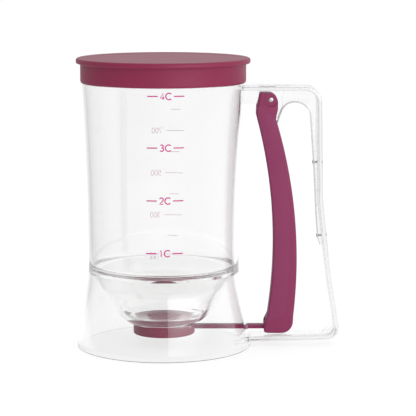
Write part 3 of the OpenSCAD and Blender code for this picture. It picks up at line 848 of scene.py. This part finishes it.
lever = {
    "width": 17.0, "lowZ": 8.6, "topRise": 4.2, "noseOut": 9.4, "toeOut": 3.9, "bowRise": 11.4,
    "frontX": 2.0, "frontR": 311.0, "frontDrop": 93.6, "backX": 17.2, "backR": 316.0, "backDrop": 105.0,
    "gripDepth": 11.0, "gripT": 2.0, "gripDrop": 4.3, "hollowDepth": 8.0, "hollowDrop": 24, "wall": 3.0,
    "ribs": 5, "ribT": 1.6, "recessR": 4.6, "recessDepth": 0.8, "edge": 1.1, "gap": 0.3,
    "webDrop": 17.9, "rodPlay": 0.8, "rodRise": 5.6, "pinPlay": 0.25,
}
frontCentre = (pivotX + lever["frontX"] - lever["frontR"], pivotZ - lever["frontDrop"])
backCentre = (pivotX + lever["backX"] - lever["backR"], pivotZ - lever["backDrop"])
noseX, toeX = pivotX - lever["noseOut"], pivotX - lever["toeOut"]
bowLowZ = lever["lowZ"] + lever["bowRise"]


def leverCorners(inset=0):
    # up the back edge, over the top to the nose, down the front to the toe, and along the low end
    low, topZ = lever["lowZ"], pivotZ + lever["topRise"]
    corners = withRadius(arcPoints(backCentre, lever["backR"], bowLowZ, pivotZ - 11.9))
    corners += [(pivotX + 4.5, pivotZ - 6.4, 2), (pivotX + 4.6, topZ, 6),
                (pivotX - 7.1 + inset, topZ, 1), (noseX + 1 + inset, pivotZ - 3.3, 0),
                (noseX + 0.3 + inset, pivotZ - 3.9, 0.3), (noseX + inset, pivotZ - 9.9, 7)]
    corners += withRadius(arcPoints(frontCentre, lever["frontR"] + inset, pivotZ - 14.9, bowLowZ))
    corners += [(toeX + inset, low + 6.6, 3), (toeX + inset, low + 0.6, 1.2), (pivotX - 1, low, 0),
                (pivotX + 14.7, low, 7.6)]
    return corners


def leverBody(name):
    return roundedPlate(name, leverCorners(), lever["width"], lever["edge"])


def gripSpace():
    # what the grip takes from the lever: the front and sides, down to the lever's core
    top, low, gripT = pivotZ - lever["gripDrop"], lever["lowZ"], lever["gripT"]
    zone = plate("zone", [(noseX - 20, top), (pivotX - 7, top), (pivotX + 1.6, top - 6.7)]
                 + arcPoints(frontCentre, lever["frontR"] + lever["gripDepth"], top - 8.2, bowLowZ + 1.5)
                 + [(pivotX - 0.7, low + 8.3), (noseX - 20, low + 5.9)], lever["width"] + 2)
    core = plate("core", roundedOutline(leverCorners(gripT)), lever["width"] - 2 * gripT)
    return combine(zone, "DIFFERENCE", core)


def webSlot():
    top, low = pivotZ + 20, pivotZ - lever["webDrop"]
    return plate("webSlot", [(pivotX - 20, top), (pivotX - 20, low), (pivotX - 2, low - 1.5),
                             (pivotX + 20, low), (pivotX + 20, top)], handle["webT"] + 2 * lever["gap"])


def rodSlot():
    half = (rodW + lever["rodPlay"]) / 2
    return block("rodSlot", (noseX - 10, -half, 0), (pivotX + 7, half, rodZ + lever["rodRise"]))


def leverHollow():
    low, high = bowLowZ + 5, pivotZ - lever["hollowDrop"]
    backX = pivotX + 30
    inner = lever["width"] - 2 * lever["wall"]
    front = arcPoints(frontCentre, lever["frontR"] + lever["hollowDepth"], low, high)
    made = plate("hollow", front + [(backX, high), (backX, low)], inner)
    for i in range(lever["ribs"]):
        z = low + (high - low) * (i + 1) / (lever["ribs"] + 1)
        combine(made, "DIFFERENCE", block("rib", (pivotX - 10, -inner, z - lever["ribT"] / 2),
                                          (backX + 5, inner, z + lever["ribT"] / 2)))
    return made


def makeLever():
    width = lever["width"]
    made = combine(leverBody("leverShell"), "DIFFERENCE", gripSpace())
    half = lowHigh("rod_pin")[1].y + lever["gap"]
    pinSlot = block("pinSlot", (rodPinX - rodPinR - lever["pinPlay"], -half, 0),
                    (rodPinX + rodPinR + lever["pinPlay"], half, rodZ + rodPinR + lever["gap"]))
    recesses = [crossBar("recess", pivotX, pivotZ, lever["recessR"], 2 * lever["recessDepth"],
                         side * width / 2) for side in (-1, 1)]
    combine(made, "DIFFERENCE", webSlot(), rodSlot(), pinSlot, leverHollow(),
            crossBar("bore", pivotX, pivotZ, boreR, width + 2), *recesses)
    return give(cleaned(made), "lever", plumLever, "plum_plastic", "lever")


def makeGrip():
    made = combine(leverBody("gripShell"), "INTERSECT", gripSpace())
    combine(made, "DIFFERENCE", webSlot(), rodSlot())
    return give(cleaned(made), "lever", plumGrip, "plum_grip", "lever_grip")


makeLever()
makeGrip()
print("lever made")


def makePin(name, body, edge):
    low, high = lowHigh(name)
    made = roundEdges(crossBar(name + "Bar", *pinShape(name), high.y - low.y), edge)
    smooth(made)
    return give(made, body, steel, "steel", name)


makePin("pivot_pin", "body", 0.3)
makePin("rod_pin", "valve", 0.25)


spring = {"width": 8.0, "thickness": 0.5, "gap": 0.3, "tipX": 4.5, "tipZ": -15.3,
          "rivetR": 0.7, "headR": 1.4, "rivetL": 2.8, "headH": 0.6}
rivetSpots = ((2, 0.85), (4, 0.91))     # a corner of the opening, and the share of the way to the next


def rivetPlaces():
    # each rivet's foot on the opening's edge, and the way that its head points
    for corner, share in rivetSpots:
        a, b = Vector(archPath[corner][:2]), Vector(archPath[corner + 1][:2])
        foot, way = a + (b - a) * share, unit(b - a)
        yield foot, Vector((way.y, -way.x))


def makeSpring():
    middle = shiftedPath(archPath, -spring["gap"] - spring["thickness"] / 2)
    start = (pivotX + spring["tipX"] - spring["thickness"] * 0.45, pivotZ + spring["tipZ"], 0)
    path = roundedOutline([start] + middle[1:], False, 10)
    made = pathMesh("springStrip", path)
    runTree(made, strip, steel, Width=spring["width"] * mm, Thickness=spring["thickness"] * mm)
    tidyMesh(made)
    for foot, way in rivetPlaces():
        combine(made, "DIFFERENCE", rivet("hole", foot, way, [
            (0, 0), (spring["rivetR"] + 0.02, 0), (spring["rivetR"] + 0.02, 2), (0, 2)]))
    smooth(made)
    give(made, None, steel, "steel", "return_spring")
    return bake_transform(made)


def rivet(name, foot, way, profile):
    made = turned(name, profile, steel, 32)
    turn = Vector((0, 0, 1)).rotation_difference(Vector((way.x, 0, way.y))).to_matrix().to_4x4()
    made.data.transform(Matrix.Translation(Vector((foot.x, 0, foot.y)) * mm) @ turn)
    return made


def makeRivets():
    s = spring
    seat = s["gap"] + s["thickness"] + 0.02
    rounded = [(s["headR"] * math.cos(t), seat + 0.15 + (s["headH"] - 0.15) * math.sin(t))
               for t in spread(0, math.pi / 2, 6)]
    profile = [(0, -s["rivetL"]), (s["rivetR"], -s["rivetL"]), (s["rivetR"], seat), (s["headR"], seat)]
    both = [rivet("rivet", foot, way, profile + rounded) for foot, way in rivetPlaces()]
    made = combine(both[0], "UNION", both[1])
    made.name = "springRivets"
    smooth(made)
    return give(made, "body", steel, "steel", "spring_rivets")


makeSpring()
makeRivets()
print("pins and spring made")


cup = {"wall": 2.0, "ribT": 1.6, "ribs": 6, "hubR": 6.0, "socketR": 5.0, "round": 0.5, "press": 0.02,
       "flangeT": 0.8, "slide": 0.15, "gap": 0.3}
flangeZ = footZ + valve["footT"] + cup["slide"]
flangeR = valve["cupR"] - 0.1
cupLow = lowHigh("valve_cup")[0].z
cupTop = footZ - cup["gap"]


def roundArrayTree():
    # the given mesh, repeated at even turns round the Z axis
    tree = nodeTree("roundArray", [("Count", "Int")])
    node, calc = makers(tree)
    given = node("NodeGroupInput").outputs
    index = node("GeometryNodeInputIndex").outputs[0]
    turn = calc("MULTIPLY", calc("DIVIDE", index, given["Count"]), 2 * math.pi)
    copies = node("GeometryNodeInstanceOnPoints", inputs={
        "Points": node("GeometryNodePoints", inputs={"Count": given["Count"]}).outputs[0],
        "Instance": given["Geometry"],
        "Rotation": node("ShaderNodeCombineXYZ", inputs={2: turn}).outputs[0]})
    return endTree(tree, given, copies.outputs[0])


def makeCup():
    c, r = cup, valve["cupR"]
    inner, ceiling = r - c["wall"], cupTop - c["wall"]
    waistR = channelR - valve["footIn"] - c["gap"]
    corners = [(c["socketR"], ceiling - 1, 0), (c["hubR"], ceiling - 1, 0), (c["hubR"], ceiling, 0.4),
               (inner, ceiling, 0.8), (inner, cupLow, 0.3),
               (r, cupLow, c["round"]), (r, cupTop, c["round"]),
               (waistR, cupTop, 0.1), (waistR, flangeZ, 0.1), (flangeR, flangeZ, 0.2),
               (flangeR, flangeZ + c["flangeT"], 0.2), (c["socketR"], flangeZ + c["flangeT"], 0)]
    made = turned("cupShell", roundedOutline(corners, steps=5), plumPlastic)
    socketR = c["socketR"] + 0.3
    hub = turned("hub", [(0, cupLow), (c["hubR"] - 0.3, cupLow), (c["hubR"], cupLow + 0.3),
                         (c["hubR"], ceiling - 0.5), (socketR, ceiling - 0.5), (socketR, cupLow + 2),
                         (0, cupLow + 2)], plumPlastic)
    ribs = block("ribs", (c["hubR"] - 1, -c["ribT"] / 2, cupLow + 0.2),
                 (inner + 1, c["ribT"] / 2, ceiling + 0.5))
    runTree(ribs, roundArrayTree(), plumPlastic, Count=c["ribs"])
    combine(made, "UNION", hub, ribs)
    combine(made, "DIFFERENCE", block("rodSocket", (r - rodBite, -rodW / 2, rodZ - rodT / 2),
                                      (r + 4, rodW / 2, rodZ + rodT / 2)))
    return give(cleaned(made), "valve", plumPlastic, "plum_plastic", "valve_cup")


def makeSeal():
    top = flangeZ + cup["flangeT"]
    radius = flangeR - 0.3
    pressed = valve["faceZ"] + cup["press"]     # so close that no air shows between them
    corners = [(0, cupLow + 2, 0), (cup["socketR"], cupLow + 2, 0.3), (cup["socketR"], top, 0),
               (radius, top, 0.1), (radius, pressed, 0.15), (0, pressed, 0)]
    made = turned("sealDisc", roundedOutline(corners, steps=4), sealSilicone)
    return give(made, "valve", sealSilicone, "seal_silicone", "valve_seal")


def makeRod():
    endR = (rodHigh.z - rodLow.z) / 2
    bar = roundEdges(block("rodBar", (valve["cupR"] - rodBite, -rodW / 2, rodZ - rodT / 2),
                           (rodPinX, rodW / 2, rodZ + rodT / 2)), 0.4)
    eye = roundEdges(crossBar("eye", rodPinX, rodZ, endR, rodW), 0.4)
    combine(bar, "UNION", eye)
    combine(bar, "DIFFERENCE", crossBar("pinBore", rodPinX, rodZ, rodPinR, rodW + 2))
    return give(cleaned(bar), "valve", plumLever, "plum_plastic", "valve_rod")


makeCup()
makeSeal()
makeRod()
print("valve made")


studio = {
    "worldStrength": 0.45, "ceiling": 0.95, "roomStrength": 0.46, "roomEdge": 0.1, "wallEdge": 0.97,
    "skew": 0.9, "overhead": 1.0, "floorGlow": 1.04, "floorShare": 0.75, "floorGrey": 0.9,
    "floorReach": 6000, "floorZ": -0.2, "dimFrom": 0.12, "dimTo": 0.45,      # the dimming is in metres
}
keyLamp = {
    "turn": 36.3, "rise": 10.5, "distance": 1.1, "aim": (0.02, 0, 0.09), "size": (1.3, 0.45),
    "power": 10.5,
    "edgeLevel": 0.45, "fullFrom": 0.28, "fadeFrom": 0.6, "endTo": 0.4,      # how its glow fades
}
view = {"x": 28.72, "y": -1181.2, "z": 267.1, "pitch": 8.534, "focal": 159.3, "sensor": 36.0,
        "near": 0.05, "far": 50}
bounces = {"solid": 120, "through": 24}      # light runs a long way inside the clear walls


def ramp(tree, value, start, end, low=0.0, high=1.0, kind="LINEAR"):
    return addNode(tree, "ShaderNodeMapRange", interpolation_type=kind, inputs={
        "Value": value, "From Min": start, "From Max": end, "To Min": low, "To Max": high}).outputs[0]


def roomTree():
    # how bright the room is in a direction: white behind, above and to the right, and darker in front
    tree = groupTree("roomLight", [("Direction", "Vector", (0, 0, 0))], [("Strength", "Float")])
    node, calc = makers(tree)
    given = node("NodeGroupInput").outputs
    way = node("ShaderNodeVectorMath", operation="NORMALIZE", inputs={0: given[0]}).outputs[0]
    side, depth, rise = node("ShaderNodeSeparateXYZ", inputs={0: way}).outputs
    steep = calc("MULTIPLY", calc("ABSOLUTE", rise), studio["overhead"])
    skewed = calc("ADD", calc("ADD", depth, steep), calc("MULTIPLY", side, studio["skew"]))
    room = ramp(tree, skewed, studio["roomEdge"], studio["wallEdge"], studio["roomStrength"])
    node("NodeGroupOutput", inputs={0: room})
    return tree


def seenRays(tree):
    # the camera's rays, and those with all that glossy and clear surfaces send on
    rays = addNode(tree, "ShaderNodeLightPath").outputs
    sentOn = mathNode(tree, "MAXIMUM", rays["Is Glossy Ray"], rays["Is Transmission Ray"])
    return rays["Is Camera Ray"], mathNode(tree, "MAXIMUM", rays["Is Camera Ray"], sentOn)


def makeFloor(room):
    reach, z = studio["floorReach"], studio["floorZ"]
    floor = meshFrom("floor", [(-reach, -reach, z), (reach, -reach, z), (reach, reach, z),
                               (-reach, reach, z)], [(0, 1, 2, 3)])
    made, tree = newFinish("paleFloor")
    node, calc = makers(tree)
    camera, seen = seenRays(tree)
    place = node("ShaderNodeTexCoord").outputs["Object"]
    away = node("ShaderNodeVectorMath", operation="LENGTH", inputs={0: place}).outputs["Value"]
    far = ramp(tree, away, studio["dimFrom"], studio["dimTo"], kind="SMOOTHSTEP")
    level = node("ShaderNodeGroup", node_tree=room, inputs={0: place}).outputs[0]
    # full white close to the object, and the room's level away from it
    dimmed = calc("MULTIPLY", far, calc("SUBTRACT", 1.0, level))
    bright = calc("MAXIMUM", calc("SUBTRACT", 1.0, dimmed), camera)
    matt = node("ShaderNodeBsdfDiffuse", inputs={"Color": (*[studio["floorGrey"]] * 3, 1)})
    glow = node("ShaderNodeEmission", inputs={
        "Color": (1, 1, 1, 1), "Strength": calc("MULTIPLY", bright, studio["floorGlow"])})
    share = calc("MULTIPLY", seen, studio["floorShare"])
    mixed = node("ShaderNodeMixShader", inputs={0: share, 1: matt.outputs[0], 2: glow.outputs[0]})
    node("ShaderNodeOutputMaterial", inputs={0: mixed.outputs[0]})
    floor.data.materials.append(made)


def makeWorld(room):
    world = bpy.data.worlds.new("studio")
    scene.world = world
    world.use_nodes = True
    tree = world.node_tree
    tree.nodes.clear()
    node, calc = makers(tree)
    camera, seen = seenRays(tree)
    way = node("ShaderNodeTexCoord").outputs["Generated"]
    level = node("ShaderNodeGroup", node_tree=room, inputs={0: way}).outputs[0]
    up = calc("MAXIMUM", node("ShaderNodeSeparateXYZ", inputs={0: way}).outputs[2], 0.0)
    soft = calc("ADD", studio["worldStrength"], calc("MULTIPLY", up, studio["ceiling"]))
    strength = calc("ADD", calc("MULTIPLY", seen, calc("MAXIMUM", level, camera)),
                    calc("MULTIPLY", calc("SUBTRACT", 1, seen), soft))
    back = node("ShaderNodeBackground", inputs={"Color": (1, 1, 1, 1), "Strength": strength})
    node("ShaderNodeOutputWorld", inputs={0: back.outputs[0]})


def softBox(name, box):
    # it looks at its aim from box["turn"] degrees right of the -Y axis and box["rise"] above it
    lamp = bpy.data.lights.new(name, "AREA")
    lamp.shape = "RECTANGLE"
    lamp.size, lamp.size_y = box["size"]
    lamp.energy = box["power"]
    lamp.use_nodes = True
    tree = lamp.node_tree
    tree.nodes.clear()
    spot = addNode(tree, "ShaderNodeNewGeometry").outputs["Parametric"]
    across, along = addNode(tree, "ShaderNodeSeparateXYZ", inputs={0: spot}).outputs[:2]
    # bright at one side and fading away to the other, and toward one end
    risen = ramp(tree, across, 0.0, box["fullFrom"], box["edgeLevel"])
    fading = ramp(tree, across, box["fadeFrom"], 1.0, 1.0, 0.0, "SMOOTHSTEP")
    ending = ramp(tree, along, 0.0, box["endTo"], kind="SMOOTHSTEP")
    glow = mathNode(tree, "MULTIPLY", mathNode(tree, "MULTIPLY", risen, fading), ending)
    emission = addNode(tree, "ShaderNodeEmission", inputs={"Strength": glow})
    addNode(tree, "ShaderNodeOutputLight", inputs={0: emission.outputs[0]})
    made = newObject(name, lamp)
    a, e = math.radians(box["turn"]), math.radians(box["rise"])
    way = Vector((math.sin(a) * math.cos(e), -math.cos(a) * math.cos(e), math.sin(e)))
    made.location = Vector(box["aim"]) + way * box["distance"]
    made.rotation_euler = way.to_track_quat("Z", "Y").to_euler()
    made.visible_transmission = False      # it gleams on the outer faces alone


def makeCamera():
    lens = bpy.data.cameras.new("camera")
    lens.lens, lens.sensor_width = view["focal"], view["sensor"]
    lens.clip_start, lens.clip_end = view["near"], view["far"]
    made = newObject("camera", lens)
    made.location = Vector((view["x"], view["y"], view["z"])) * mm
    made.rotation_euler = (math.radians(90 - view["pitch"]), 0, 0)
    scene.camera = made


roomLight = roomTree()
makeFloor(roomLight)
makeWorld(roomLight)
softBox("keyBox", keyLamp)
makeCamera()
scene.view_settings.view_transform = "Standard"
scene.cycles.max_bounces = bounces["solid"]
scene.cycles.transmission_bounces = bounces["solid"]
scene.cycles.glossy_bounces = bounces["solid"]
scene.cycles.transparent_max_bounces = bounces["through"]
print("studio made")
